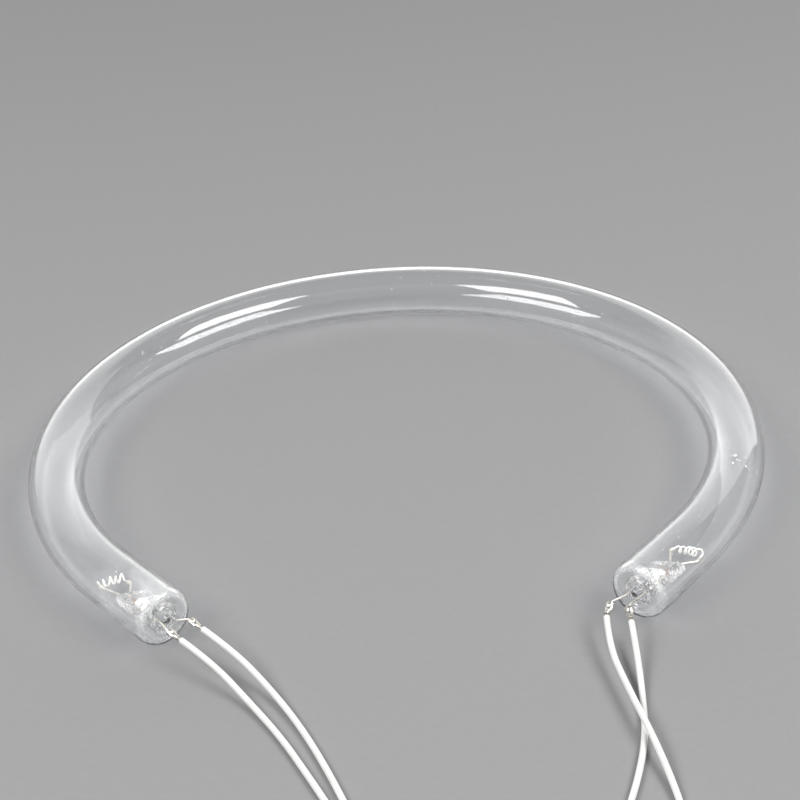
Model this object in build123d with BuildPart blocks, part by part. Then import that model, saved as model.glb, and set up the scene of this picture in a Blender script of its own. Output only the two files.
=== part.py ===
# Circular germicidal lamp: an open ring of clear glass tube, a glass stem with a
# coiled filament in each end, and four white insulated wires spliced to its leads.
# Millimetres, +Z up. The ring lies flat on z = 0 with the gap between its two ends
# towards -Y, and the origin is the middle of its footprint. The part is built at the
# right-hand end, at +X, and mirrored to the left-hand end.

from build123d import *
import os
from math import cos, pi, radians, sin, sqrt, tan

# Ring
tube_diameter = 16.0
tube_wall = 1.0
ring_radius = 98.5  # from the ring's middle to the tube's centreline
gap_half_angle = 50.5  # half of the arc that the ring leaves open
leg_length = 26.0  # straight stretch at each end, measured to the end plane
lip_step = 0.3  # the tube is drawn in to a lip that lies this far outside the stem's neck

# Glass stem
stem_bore = 5.8
stem_wall = 1.0
stem_straight = 5.2  # round stretch of the stem between its flare and its pinch
bore_taper = 1.6  # length over which the stem's bore closes on the exhaust tube
pinch_length = 4.0  # stretch over which the round stem turns into the flat press
press_width = 10.4
press_thickness = 3.0
press_length = 4.8
press_round = 1.1  # rounding of the press's inner edge
press_offset = 0.6  # the press stands this far outboard of the tube's centreline
stem_roll = 18.0  # the press's outboard side lies this far above the horizontal, in degrees

# Exhaust tube
exhaust_diameter = 3.4
exhaust_bore = 1.9
exhaust_proud = 0.8  # its sealed tip stands this far outside the end plane
exhaust_tip_wall = 1.6
exhaust_root = 2.4  # depth of its root in the pinched glass
exhaust_port_diameter = 1.2

# Lead wires through the stem
lead_spacing = 4.6  # between the two outer leads
inner_lead_spacing = 2.3  # between the two inner leads, where they leave the press
inner_lead_offset = 1.2  # the middle between them lies this far outboard
inner_lead_drop = 0.5  # and this far below the middle of the press
outer_lead_diameter = 0.5
seal_wire_diameter = 0.4
inner_lead_diameter = 0.6
outer_lead_root = 2.6  # length of the outer lead inside the pinched glass
seal_wire_depth = 3.2  # stretch of the press that the seal wire runs through
seal_wire_straight = 0.6  # at each end of the seal wire, which slants in between
lead_bend = 1.6  # bending radius of the lead wires
lead_straight = 0.9  # straight stretch beyond the glass before a lead bends
lead_reach = 5.5  # the leads' tips lie this far in front of the middles of the ends

# Filament and the folded tabs that hold it
coil_turns = 4.5  # a whole number and a half, so that its legs leave on opposite sides
coil_pitch = 1.6
coil_mean_diameter = 1.9
coil_wire_diameter = 0.5
coil_leg_length = 2.4
coil_distance = 23.6  # from the end plane to the coil's axis
coil_offset = 1.2  # the coil's middle lies this far outboard
coil_drop = 0.6  # and this far below the middle of the press
coil_roll = 8.0  # the coil's outboard end lies this far above the horizontal, in degrees
tab_length = 1.2
tab_width = 1.0
tab_thickness = 0.95
tab_round = 0.3
tab_seam = 0.12

# Insulated wires and their splices
wire_diameter = 1.6
strand_diameter = 0.76
bare_gap = 1.0  # bare strands between the splice sleeve and the insulation
tip_length = 6.0  # stripped and tinned length at the far end
sleeve_diameter = 1.7
sleeve_length = 3.4
sleeve_round = 0.15
sleeve_gap = 0.3  # the lead and the strands stop this far apart inside the sleeve
crimp_width = 1.1
crimp_depth = 0.18
arc_share = 0.45  # share of the shorter run that each arc of a wire's route takes up

# Mercury: angle round the ring, offset from the centreline and diameter of each bead
mercury_beads = [
    (-6.1, 0.0, 1.2),
    (-8.3, -0.9, 0.8),
    (-7.4, 1.4, 0.6),
    (-9.9, 3.0, 1.0),
    (-3.6, -1.3, 0.5),
]
bead_clearance = 0.03

# Routes of the insulated wires, from the splice to the far end. X and Y are measured from
# the middle of the end that the wire comes out of, and Z from the table.
routes = {
    "left_inboard": [
        (9.4, -3.7, 7.3),
        (17.7, -11.5, 5.6),
        (26.7, -22.1, 1.8),
        (33.9, -34.7, 0.8),
        (39.9, -48.7, 0.8),
        (45.5, -64.1, 0.8),
        (50.1, -78.1, 0.8),
        (55.9, -90.1, 0.8),
    ],
    "left_outboard": [
        (4.1, -7.1, 6.8),
        (12.3, -14.9, 5.2),
        (21.5, -25.7, 1.2),
        (29.9, -39.3, 0.8),
        (37.1, -54.3, 0.8),
        (43.1, -67.3, 0.8),
        (46.9, -80.7, 0.8),
        (48.3, -93.7, 0.8),
    ],
    "right_inboard": [
        (-8.0, -6.0, 5.8),
        (-8.5, -15.7, 4.0),
        (-6.1, -30.1, 3.4),
        (-2.3, -49.7, 3.4),
        (0.7, -65.9, 0.8),
        (1.3, -79.3, 0.8),
        (-1.3, -92.7, 0.8),
        (-6.9, -103.2, 0.8),
    ],
    "right_outboard": [
        (-2.1, -8.35, 5.75),
        (-1.9, -18.9, 3.0),
        (-2.4, -31.7, 0.8),
        (-3.8, -46.9, 0.8),
        (-8.1, -62.7, 0.8),
        (-13.7, -77.1, 0.8),
        (-17.5, -91.1, 0.8),
        (-18.1, -105.8, 0.8),
    ],
}

# Worked out from the sizes above
tube_radius = tube_diameter / 2
bore_radius = tube_radius - tube_wall
stem_radius = stem_bore / 2 + stem_wall
lip_radius = stem_radius + lip_step  # radius of the seam between the tube and the flare
rim_round = tube_radius - lip_radius  # outside rounding of the drawn-in tube
flare_depth = lip_radius - stem_bore / 2
pinch_start = flare_depth + stem_straight
press_start = pinch_start + pinch_length
press_top = press_start + press_length
bore_taper_start = pinch_start - bore_taper / 2
bore_end = bore_taper_start + bore_taper
exhaust_end = bore_end + exhaust_root
exhaust_radius = exhaust_diameter / 2
outer_lead_end = bore_end + outer_lead_root
seal_wire_end = outer_lead_end + seal_wire_depth
coil_radius = coil_mean_diameter / 2
coil_length = coil_turns * coil_pitch

# Place of the right-hand end, with the middle of the footprint at the origin
gap_sine = sin(radians(gap_half_angle))
gap_cosine = cos(radians(gap_half_angle))
end_x = ring_radius * gap_sine - leg_length * gap_cosine
end_reach = ring_radius * gap_cosine + leg_length * gap_sine
ring_middle_y = (end_reach + lead_reach - ring_radius - tube_radius) / 2
ring_middle = Vector(0, ring_middle_y, tube_radius)
end_centre = Vector(end_x, ring_middle_y - end_reach, tube_radius)

# Directions there: along the leg into the lamp, and along the width of the press
leg_in = Vector(gap_cosine, gap_sine, 0)
level_out = Vector(gap_sine, -gap_cosine, 0)
across = level_out * cos(radians(stem_roll)) + Vector(0, 0, sin(radians(stem_roll)))
coil_across = level_out * cos(radians(coil_roll)) + Vector(0, 0, sin(radians(coil_roll)))
end_plane = Plane(origin=end_centre, x_dir=across, z_dir=leg_in)
section_plane = Plane(origin=end_centre, x_dir=across, z_dir=across.cross(leg_in))
stem_axis = Axis(end_centre, leg_in)

sides = {"inboard": -1, "outboard": 1}
ends = ("left", "right")


def in_lamp(width, thickness, depth):
    """A point by its place along the press's width and thickness and its depth from the end."""
    return end_plane.from_local_coords(Vector(width, thickness, depth))


def at_end(point, end_name):
    """The point itself at the right-hand end, and its mirror image at the left-hand one."""
    return point if end_name == "right" else Vector(-point.X, point.Y, point.Z)


def export(part, name):
    """Write one piece to its own file."""
    part.label = name
    export_step(part, f"parts/{name}.step")


def export_both(part, name, suffix=""):
    """Write a right-hand piece and its mirror image at the left-hand end."""
    with BuildPart() as left:
        mirror(part, about=Plane.YZ)
    export(left.part, f"{name}_left{suffix}")
    export(part, f"{name}_right{suffix}")


def arc_radii(points, largest=None):
    """One radius for each corner: a share of its shorter run over the tangent of half its turn."""
    radii = []
    for before, corner, after in zip(points, points[1:], points[2:]):
        run_in = Vector(corner) - Vector(before)
        run_out = Vector(after) - Vector(corner)
        half_turn = radians(run_in.get_angle(run_out)) / 2
        radius = arc_share * min(run_in.length, run_out.length) / tan(half_turn)
        radii.append(min(radius, largest) if largest else radius)
    return radii


def bent_rod(points, diameter, largest=None):
    """A round rod along straight runs that are joined by tangent arcs, and its length."""
    with BuildPart() as rod:
        with BuildLine() as path:
            FilletPolyline(*points, radius=arc_radii(points, largest))
        with BuildSketch(Plane(origin=path.line @ 0, z_dir=path.line % 0)):
            Circle(diameter / 2)
        sweep(path=path.line)
    return rod.part, sum(edge.length for edge in path.edges())


def straight_rod(start, finish, diameter):
    """A round rod from one point to another."""
    with BuildPart() as rod:
        with BuildSketch(Plane(origin=start, z_dir=finish - start)):
            Circle(diameter / 2)
        extrude(amount=(finish - start).length)
    return rod.part


os.makedirs("parts", exist_ok=True)

# One end of the glass tube: a straight leg that is drawn in to a lip
with BuildPart() as tube_end:
    with BuildSketch(section_plane):
        with BuildLine():
            Line((bore_radius, leg_length), (tube_radius, leg_length))
            Line((tube_radius, leg_length), (tube_radius, rim_round))
            CenterArc((lip_radius, rim_round), rim_round, 270, 90)
            Line((lip_radius, 0), (lip_radius, tube_wall))
            CenterArc((lip_radius, rim_round), rim_round - tube_wall, 270, 90)
            Line((bore_radius, rim_round), (bore_radius, leg_length))
        make_face()
    revolve(axis=stem_axis)

# Glass tube: the arc of the ring with an end on each side
with BuildPart() as glass_tube:
    with BuildSketch(end_plane.offset(leg_length)):
        Circle(tube_radius)
        Circle(bore_radius, mode=Mode.SUBTRACT)
    revolve(axis=Axis(ring_middle, (0, 0, 1)), revolution_arc=360 - 2 * gap_half_angle)
    add(tube_end.part)
    mirror(tube_end.part, about=Plane.YZ)
export(glass_tube.part, "glass_tube")

# Outer leads, splice sleeves and insulated wires, which differ from end to end
outer_leads = {}
for end_name in ends:
    for side_name, side in sides.items():
        name = f"{end_name}_{side_name}"
        start = at_end(end_centre, end_name)
        route = [(start.X + x, start.Y + y, z) for x, y, z in routes[name]]
        wire_start = Vector(route[0])
        wire_direction = (Vector(route[1]) - wire_start).normalized()
        sleeve_end = wire_start - wire_direction * bare_gap
        sleeve_middle = sleeve_end - wire_direction * (sleeve_length / 2)
        sleeve_start = sleeve_end - wire_direction * sleeve_length

        # Outer lead: out of the pinched glass, through the stem's mouth, into the sleeve
        lead_root = at_end(in_lamp(side * lead_spacing / 2, 0, outer_lead_end), end_name)
        lead_mouth = at_end(in_lamp(side * lead_spacing / 2, 0, -lead_straight), end_name)
        lead_approach = sleeve_start - wire_direction * lead_straight
        lead_tip = sleeve_middle - wire_direction * (sleeve_gap / 2)
        lead_points = [lead_root, lead_mouth, lead_approach, lead_tip]
        outer_leads[name], _ = bent_rod(lead_points, outer_lead_diameter, lead_bend)
        export(outer_leads[name], f"outer_lead_{name}")

        # Stripped strands of the wire, from inside the sleeve to the insulation
        strand_start = sleeve_middle + wire_direction * (sleeve_gap / 2)
        strands = straight_rod(strand_start, wire_start, strand_diameter)
        export(strands, f"wire_strands_{name}")

        # Splice sleeve: a short tube, crimped flat on two sides over both of them
        crimp_plane = Plane(origin=sleeve_middle, x_dir=wire_direction, z_dir=(0, 0, 1))
        crimp_offset = (sleeve_diameter - crimp_depth) / 2
        with BuildPart() as sleeve:
            add(straight_rod(sleeve_start, sleeve_end, sleeve_diameter))
            fillet(sleeve.edges().filter_by(GeomType.CIRCLE), radius=sleeve_round)
            with Locations(crimp_plane.offset(crimp_offset), crimp_plane.offset(-crimp_offset)):
                Box(crimp_width, sleeve_diameter, crimp_depth, mode=Mode.SUBTRACT)
            add(outer_leads[name], mode=Mode.SUBTRACT)
            add(strands, mode=Mode.SUBTRACT)
        export(sleeve.part, f"splice_sleeve_{name}")

        # Insulated wire along its route, and the tinned tip at its far end
        insulation, insulation_length = bent_rod(route, wire_diameter)
        export(insulation, f"wire_{name}")
        far_end = Vector(route[-1])
        far_direction = (far_end - Vector(route[-2])).normalized()
        tip = straight_rod(far_end, far_end + far_direction * tip_length, strand_diameter)
        export(tip, f"wire_tip_{name}")

        swept_volume = pi * wire_diameter**2 / 4 * insulation_length
        print(name, "length", round(insulation_length, 1))
        print("  volume over section times length", round(insulation.volume / swept_volume, 4))
        print("  radii", [round(radius, 1) for radius in arc_radii(route)])

# Filament, in its own frame: a coil along Z, with a leg at each end towards -Y
coil_ends = {}
with BuildPart() as coil:
    with BuildLine() as coil_path:
        Helix(pitch=coil_pitch, height=coil_length, radius=coil_radius)
    with BuildSketch(Plane(origin=coil_path.line @ 0, z_dir=coil_path.line % 0)):
        Circle(coil_wire_diameter / 2)
    sweep(path=coil_path.line, is_frenet=True)
    for side_name, place, way in (("inboard", 0, -1), ("outboard", 1, 1)):
        leg_start = coil_path.line @ place
        leg_tip = leg_start + (coil_path.line % place) * way * coil_leg_length
        add(straight_rod(leg_start, leg_tip, coil_wire_diameter))
        coil_ends[side_name] = (leg_start, leg_tip)

# Filament in place: the coil lies across the tube and its legs point at the press
coil_origin = in_lamp(coil_offset, coil_drop, coil_distance) - coil_across * (coil_length / 2)
coil_plane = Plane(origin=coil_origin, x_dir=leg_in.cross(coil_across), z_dir=coil_across)
filament = coil.part.moved(coil_plane.location)
export_both(filament, "filament")

# Inner leads: from the press to a tab folded round the filament's leg. Seal wires join
# them to the outer leads inside the glass.
inner_leads = []
seal_wires = []
for side_name, side in sides.items():
    offset = inner_lead_offset + side * inner_lead_spacing / 2
    seal_start = in_lamp(side * lead_spacing / 2, 0, outer_lead_end)
    slant_start = in_lamp(side * lead_spacing / 2, 0, outer_lead_end + seal_wire_straight)
    slant_end = in_lamp(offset, inner_lead_drop, seal_wire_end - seal_wire_straight)
    seal_end = in_lamp(offset, inner_lead_drop, seal_wire_end)
    seal_points = [seal_start, slant_start, slant_end, seal_end]
    seal_wires.append(bent_rod(seal_points, seal_wire_diameter)[0])
    export_both(seal_wires[-1], "seal_wire", f"_{side_name}")

    leg_start, leg_tip = (coil_plane.from_local_coords(point) for point in coil_ends[side_name])
    knee = in_lamp(offset, inner_lead_drop, press_top + lead_straight)
    with BuildPart() as inner_lead:
        add(bent_rod([seal_end, knee, leg_tip], inner_lead_diameter, lead_bend)[0])
        tab_plane = Plane(origin=leg_tip, x_dir=coil_across, z_dir=leg_start - leg_tip)
        with BuildSketch(tab_plane):
            RectangleRounded(tab_width, tab_thickness, tab_round)
        extrude(amount=tab_length)
        with BuildSketch(tab_plane):
            Rectangle(tab_width, tab_seam, align=(Align.MIN, Align.CENTER))
        extrude(amount=tab_length, mode=Mode.SUBTRACT)
        add(filament, mode=Mode.SUBTRACT)
    inner_leads.append(inner_lead.part)
    export_both(inner_lead.part, "inner_lead", f"_{side_name}")

# Exhaust tube: sealed with a round tip at the stem's mouth, rooted in the pinched glass
port_depth = exhaust_end - exhaust_port_diameter
port_plane = Plane(origin=in_lamp(0, 0, port_depth), z_dir=end_plane.y_dir)
with BuildPart() as exhaust_tube:
    with BuildSketch(section_plane):
        with BuildLine():
            Line((0, exhaust_end), (exhaust_radius, exhaust_end))
            Line((exhaust_radius, exhaust_end), (exhaust_radius, exhaust_radius - exhaust_proud))
            CenterArc((0, exhaust_radius - exhaust_proud), exhaust_radius, 270, 90)
            Line((0, -exhaust_proud), (0, exhaust_end))
        make_face()
    revolve(axis=stem_axis)
    bore_bottom = exhaust_tip_wall - exhaust_proud
    with BuildSketch(end_plane.offset(bore_bottom)):
        Circle(exhaust_bore / 2)
    extrude(amount=port_depth - bore_bottom, mode=Mode.SUBTRACT)
    with BuildSketch(port_plane):
        Circle(exhaust_port_diameter / 2)
    extrude(amount=exhaust_diameter, mode=Mode.SUBTRACT)
export_both(exhaust_tube.part, "exhaust_tube")

# Glass stem: a flare that meets the tube's lip, a round neck and a flat press
with BuildPart() as stem:
    with BuildSketch(section_plane):
        with BuildLine():
            Line((0, 0), (lip_radius, 0))
            Line((lip_radius, 0), (lip_radius, tube_wall))
            EllipticalCenterArc(
                (lip_radius, flare_depth),
                lip_radius - stem_radius,
                flare_depth - tube_wall,
                start_angle=180,
                arc_size=90,
            )
            Line((stem_radius, flare_depth), (stem_radius, pinch_start))
            Line((stem_radius, pinch_start), (0, pinch_start))
            Line((0, pinch_start), (0, 0))
        make_face()
    revolve(axis=stem_axis)
    with BuildSketch(end_plane.offset(pinch_start)):
        Circle(stem_radius)
    with BuildSketch(end_plane.offset(press_start)):
        with Locations((press_offset, 0)):
            RectangleRounded(press_width, press_thickness, press_thickness * 0.49)
    loft()
    with BuildSketch(end_plane.offset(press_start)):
        with Locations((press_offset, 0)):
            RectangleRounded(press_width, press_thickness, press_thickness * 0.49)
    extrude(amount=press_length)
    fillet(stem.faces().sort_by(stem_axis)[-1].edges(), radius=press_round)
    with BuildSketch(section_plane):
        with BuildLine():
            Line((0, 0), (lip_radius, 0))
            CenterArc((lip_radius, flare_depth), flare_depth, 180, 90)
            Line((stem_bore / 2, flare_depth), (stem_bore / 2, bore_taper_start))
            Line((stem_bore / 2, bore_taper_start), (exhaust_radius, bore_end))
            Line((exhaust_radius, bore_end), (exhaust_radius, exhaust_end))
            Line((exhaust_radius, exhaust_end), (0, exhaust_end))
            Line((0, exhaust_end), (0, 0))
        make_face()
    revolve(axis=stem_axis, mode=Mode.SUBTRACT)
    with BuildSketch(port_plane):
        Circle(exhaust_port_diameter / 2)
    extrude(amount=stem_radius, mode=Mode.SUBTRACT)
    for side_name in sides:
        add(outer_leads[f"right_{side_name}"], mode=Mode.SUBTRACT)
    for wire in seal_wires + inner_leads:
        add(wire, mode=Mode.SUBTRACT)
export_both(stem.part, "stem")

# Mercury: beads that lie on the bottom of the tube's bore
with BuildPart() as mercury:
    for bead_angle, bead_offset, bead_diameter in mercury_beads:
        seat_radius = bore_radius - bead_diameter / 2 - bead_clearance
        distance = ring_radius + bead_offset
        bead_x = distance * cos(radians(bead_angle))
        bead_y = ring_middle_y + distance * sin(radians(bead_angle))
        bead_z = tube_radius - sqrt(seat_radius**2 - bead_offset**2)
        with Locations((bead_x, bead_y, bead_z)):
            Sphere(bead_diameter / 2)
export(mercury.part, "mercury_beads")
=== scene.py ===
"""Circular germicidal lamp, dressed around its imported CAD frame.

Everything is in metres in the part's own frame: +Z up, the ring flat on Z = 0, and the gap
between the ring's two ends towards -Y. Places at an end of the lamp are given by a width along
the flat press, a height across it and a depth from the end plane into the tube.
"""

import bpy
import numpy as np
from bpy.props import FloatProperty, FloatVectorProperty, PointerProperty
from mathutils import Matrix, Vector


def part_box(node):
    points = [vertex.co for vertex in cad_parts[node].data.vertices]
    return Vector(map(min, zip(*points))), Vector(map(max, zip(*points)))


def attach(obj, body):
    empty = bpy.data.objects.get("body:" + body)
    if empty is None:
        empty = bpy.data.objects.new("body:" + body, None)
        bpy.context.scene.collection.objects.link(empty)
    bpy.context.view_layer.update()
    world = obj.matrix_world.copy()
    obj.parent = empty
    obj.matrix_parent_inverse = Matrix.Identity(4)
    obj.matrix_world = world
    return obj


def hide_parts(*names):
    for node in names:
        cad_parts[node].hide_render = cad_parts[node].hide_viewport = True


bl_info = {
    "name": "Circular germicidal lamp",
    "version": (1, 0, 0),
    "blender": (4, 5, 0),
    "location": "3D View > Sidebar > Lamp",
    "description": "Glass ring, filament stems, leads and insulated wires of a circular lamp",
    "category": "Object",
}

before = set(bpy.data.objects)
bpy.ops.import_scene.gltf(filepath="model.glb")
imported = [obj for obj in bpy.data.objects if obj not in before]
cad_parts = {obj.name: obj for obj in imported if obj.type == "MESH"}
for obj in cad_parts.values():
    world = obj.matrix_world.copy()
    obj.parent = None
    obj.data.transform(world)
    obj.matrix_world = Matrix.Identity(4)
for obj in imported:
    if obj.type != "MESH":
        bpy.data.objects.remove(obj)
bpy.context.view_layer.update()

MM = 0.001
UP = np.array([0.0, 0.0, 1.0])
ENDS = ("left", "right")
SIDES = {"inboard": -1.0, "outboard": 1.0}

glass_low, glass_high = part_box("glass_tube")
TUBE_DIAMETER = round(glass_high.z - glass_low.z, 4)
RING_RADIUS = round((glass_high.x - glass_low.x - TUBE_DIAMETER) / 2, 4)
RING_MIDDLE = (0.0, glass_high.y - RING_RADIUS - TUBE_DIAMETER / 2, TUBE_DIAMETER / 2)

# How square an arc or a section is: 2 for a round one, more for a blunter one
ROUND = 2.0
RIM_FULLNESS = 3.0
PRESS_SQUARENESS = 3.6

# The exhaust tube's bore: its radius, the length of the sealed tip before it, and how far it
# reaches past the stem's bore
EXHAUST_BORE = 0.95 * MM
EXHAUST_SEAL = 1.6 * MM
EXHAUST_REACH = 1.9 * MM

# Diameter of the wires sealed in a press
SEAL_WIRE = 0.4 * MM

# Where those wires meet the leads and bend: depths from the pinch's inner end
OUTER_LEAD_ROOT = -0.6 * MM
SEAL_WIRE_BENDS = (0.0, 2.0 * MM)
INNER_LEAD_ROOT = 2.6 * MM

# Where the inner leads bend, from the press's inner edge, and the outer ones, from the end plane
INNER_LEAD_BEND = 0.9 * MM
OUTER_LEAD_BEND = -0.9 * MM

# Bare strands between a splice sleeve and the insulation
BARE_STRANDS = 1.0 * MM

# Distance between the points of a bent wire, and of the finer ones
WIRE_STEP = 0.08 * MM
FINE_STEP = 0.06 * MM

# Points of each straight leg of a filament
LEG_POINTS = 40

# Units of the glass's map for each metre along the tube
MAP_SCALE = 10.0

# Control points of the insulated wires, in millimetres, from the splice to the far end
WIRE_ROUTES = {
    "left_inboard": [
        (-50.07, -95.56, 7.3),
        (-41.77, -103.36, 5.6),
        (-32.77, -113.96, 1.8),
        (-25.57, -126.56, 0.8),
        (-19.57, -140.56, 0.8),
        (-13.97, -155.96, 0.8),
        (-9.37, -169.96, 0.8),
        (-3.57, -181.96, 0.8),
    ],
    "left_outboard": [
        (-55.37, -98.96, 6.8),
        (-47.17, -106.76, 5.2),
        (-37.97, -117.56, 1.2),
        (-29.57, -131.16, 0.8),
        (-22.37, -146.16, 0.8),
        (-16.37, -159.16, 0.8),
        (-12.57, -172.56, 0.8),
        (-11.17, -185.56, 0.8),
    ],
    "right_inboard": [
        (51.47, -97.86, 5.8),
        (50.97, -107.56, 4.0),
        (53.37, -121.96, 3.4),
        (57.17, -141.56, 3.4),
        (60.17, -157.76, 0.8),
        (60.77, -171.16, 0.8),
        (58.17, -184.56, 0.8),
        (52.57, -195.06, 0.8),
    ],
    "right_outboard": [
        (57.37, -100.21, 5.75),
        (57.57, -110.76, 3.0),
        (57.07, -123.56, 0.8),
        (55.67, -138.76, 0.8),
        (51.37, -154.56, 0.8),
        (45.77, -168.96, 0.8),
        (41.97, -182.96, 0.8),
        (41.37, -197.66, 0.8),
    ],
}

# Each filament as it was set by hand: the coil's stretch, its rise in millimetres and its tilt in
# degrees, the side on which it starts, and how its turns lean and widen from one leg to the other
COILS = {
    "left": dict(seed=5, stretch=1.08, rise=0.7, tilt=0.0, starts=1.0, lean=(-0.8, 0.1), widen=0.0),
    "right": dict(seed=8, stretch=0.94, rise=0.0, tilt=5.0, starts=-1.0, lean=(0.0, 0.4), widen=0.25),
}

# How far the glass end of a splice sleeve leans aside, in millimetres
SLEEVE_LEANS = {"right_inboard": (1.4, 0.0, 0.3)}

# Mercury: angle round the ring in degrees, offset from the centreline and diameter in millimetres
MERCURY_BEADS = np.array(
    [
        (-6.1, 0.0, 1.2),
        (-8.3, -0.9, 0.8),
        (-7.4, 1.4, 0.6),
        (-9.9, 3.0, 1.0),
        (-3.6, -1.3, 0.5),
    ]
)


# Sizes and colours that a user would change


def a_length(name, description, default):
    """A length in metres."""
    return FloatProperty(name=name, description=description, default=default, unit="LENGTH")


def an_angle(name, description, degrees):
    """An angle, given in degrees and kept in radians."""
    default = float(np.radians(degrees))
    return FloatProperty(name=name, description=description, default=default, subtype="ANGLE")


def a_colour(name, description, default):
    """A colour without alpha."""
    return FloatVectorProperty(
        name=name, description=description, default=default, subtype="COLOR", min=0, max=1
    )


class LampGlassSettings(bpy.types.PropertyGroup):
    """Sizes and finish of the glass tube, its stems and its exhaust tubes"""

    tube_diameter: a_length("Tube diameter", "Outside diameter of the tube", TUBE_DIAMETER)
    tube_wall: a_length("Tube wall", "Thickness of the tube's wall", 1.0 * MM)
    ring_radius: a_length("Ring radius", "Radius of the tube's centreline", RING_RADIUS)
    gap_half_angle: an_angle("Half gap", "Half of the arc that the ring leaves open", 50.5)
    leg_length: a_length("Leg length", "Straight stretch at each end", 26.0 * MM)
    rim_round: a_length("Rim rounding", "Rounding where the tube is drawn in to its stem", 3.8 * MM)
    stem_bore: a_length("Stem bore", "Diameter of the stem's bore", 5.8 * MM)
    stem_wall: a_length("Stem wall", "Thickness of the stem's round neck", 1.0 * MM)
    stem_straight: a_length("Stem neck", "Length of the stem's round neck", 5.2 * MM)
    pinch_length: a_length("Pinch length", "Stretch over which the neck becomes the press", 4.0 * MM)
    press_width: a_length("Press width", "Width of the flat press", 10.4 * MM)
    press_thickness: a_length("Press thickness", "Thickness of the flat press", 3.0 * MM)
    press_length: a_length("Press length", "Length of the flat press", 4.8 * MM)
    press_offset: a_length("Press offset", "How far outboard the press stands", 0.6 * MM)
    stem_roll: an_angle("Stem roll", "Angle between the press and the horizontal", 18.0)
    exhaust_diameter: a_length(
        "Exhaust tube diameter", "Outside diameter of the exhaust tube", 3.4 * MM
    )
    exhaust_proud: a_length(
        "Exhaust tip", "How far the exhaust tube's sealed tip stands outside the end plane", 0.8 * MM
    )
    ripple: a_length("Ripple", "Height of the press's lumps and pinch marks", 0.19 * MM)
    # Strength of the painted reflection near the ends: milky white wisps that stand in for the highlights of
    # the flare and the press.
    painted_haze: FloatProperty(
        name="Haze",
        description="Strength of the milky haze that the flame left at the ends",
        default=0.22,
        min=0,
        max=1,
    )
    tint: a_colour("Glass tint", "Colour of the glass", (0.992, 0.997, 1.0))
    refraction: FloatProperty(
        name="Refraction",
        description="Index of refraction of the fused quartz",
        default=1.46,
        min=1.0,
        max=2.0,
    )


class LampMetalSettings(bpy.types.PropertyGroup):
    """Sizes and colours of the filaments, leads and splices"""

    coil_turns: FloatProperty(
        name="Coil turns", description="Turns of each filament", default=4.5, min=1.5
    )
    coil_pitch: a_length("Coil pitch", "Distance from turn to turn", 1.6 * MM)
    coil_diameter: a_length("Coil diameter", "Diameter at the middle of the wire", 1.9 * MM)
    coil_wire: a_length("Coil wire", "Diameter of the coated coil wire", 0.5 * MM)
    coil_depth: a_length("Coil depth", "From the end plane to the coil's axis", 23.6 * MM)
    coil_offset: a_length("Coil offset", "How far outboard the coil's middle lies", 1.2 * MM)
    coil_drop: a_length("Coil drop", "How far below the press the coil's middle lies", 0.6 * MM)
    coil_roll: an_angle("Coil roll", "Angle between the coil and the horizontal", 8.0)
    coil_leg: a_length("Coil legs", "Length of the coil's straight legs", 2.4 * MM)
    lead_spacing: a_length("Outer lead spacing", "Distance between the two outer leads", 4.6 * MM)
    inner_spacing: a_length(
        "Inner lead spacing", "Distance between the two inner leads at the press", 2.3 * MM
    )
    inner_offset: a_length(
        "Inner lead offset", "How far outboard the middle between the inner leads lies", 1.2 * MM
    )
    inner_drop: a_length(
        "Inner lead drop", "How far below the middle of the press the inner leads leave it", 0.5 * MM
    )
    inner_lead: a_length("Inner lead", "Diameter of the inner leads", 0.6 * MM)
    outer_lead: a_length("Outer lead", "Diameter of the outer leads", 0.5 * MM)
    sleeve_diameter: a_length("Sleeve diameter", "Outside diameter of a splice sleeve", 1.7 * MM)
    sleeve_length: a_length("Sleeve length", "Length of a splice sleeve", 3.4 * MM)
    nickel: a_colour("Lead colour", "Nickel-plated lead wire", (0.84, 0.81, 0.75))
    sleeve: a_colour("Sleeve colour", "Thinly tinned brass", (0.78, 0.76, 0.71))
    coating: a_colour("Coating colour", "Chalky coating of the filaments", (0.90, 0.89, 0.86))


class LampWireSettings(bpy.types.PropertyGroup):
    """Sizes and colour of the insulated wires"""

    wire_diameter: a_length("Wire diameter", "Diameter over the insulation", 1.6 * MM)
    wire_length: a_length("Wire length", "Length of the insulation", 100.0 * MM)
    strand_diameter: a_length("Strand diameter", "Diameter over the bare strands", 0.76 * MM)
    tip_length: a_length("Tip length", "Tinned length at the far end", 6.0 * MM)
    insulation: a_colour("Insulation colour", "Extruded insulation", (0.82, 0.82, 0.81))


class LampStageSettings(bpy.types.PropertyGroup):
    """Floor, lamps and surroundings"""

    floor_colour: a_colour("Floor colour", "Plain pale floor", (0.275, 0.275, 0.279))
    softbox_strength: FloatProperty(
        name="Softbox brightness", description="Radiance of the two large softboxes", default=9.5, min=0
    )
    wall_strength: FloatProperty(
        name="Wall brightness", description="Radiance of the pale wall behind, low down", default=1.7, min=0
    )
    fill_strength: FloatProperty(
        name="Fill brightness", description="Radiance of the surroundings overhead", default=0.20, min=0
    )


# Surfaces


def unit(vectors):
    """A vector, or each row of vectors, brought to length one."""
    return vectors / np.linalg.norm(vectors, axis=-1, keepdims=True)


def angles_round(count):
    """Angles q evenly round a full turn."""
    return np.linspace(0, 2 * np.pi, count, endpoint=False)


def blunt(wave, power):
    """sgn(wave) |wave|^power, which turns a circle's cosine and sine into a superellipse's."""
    return np.sign(wave) * np.abs(wave) ** power


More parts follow.
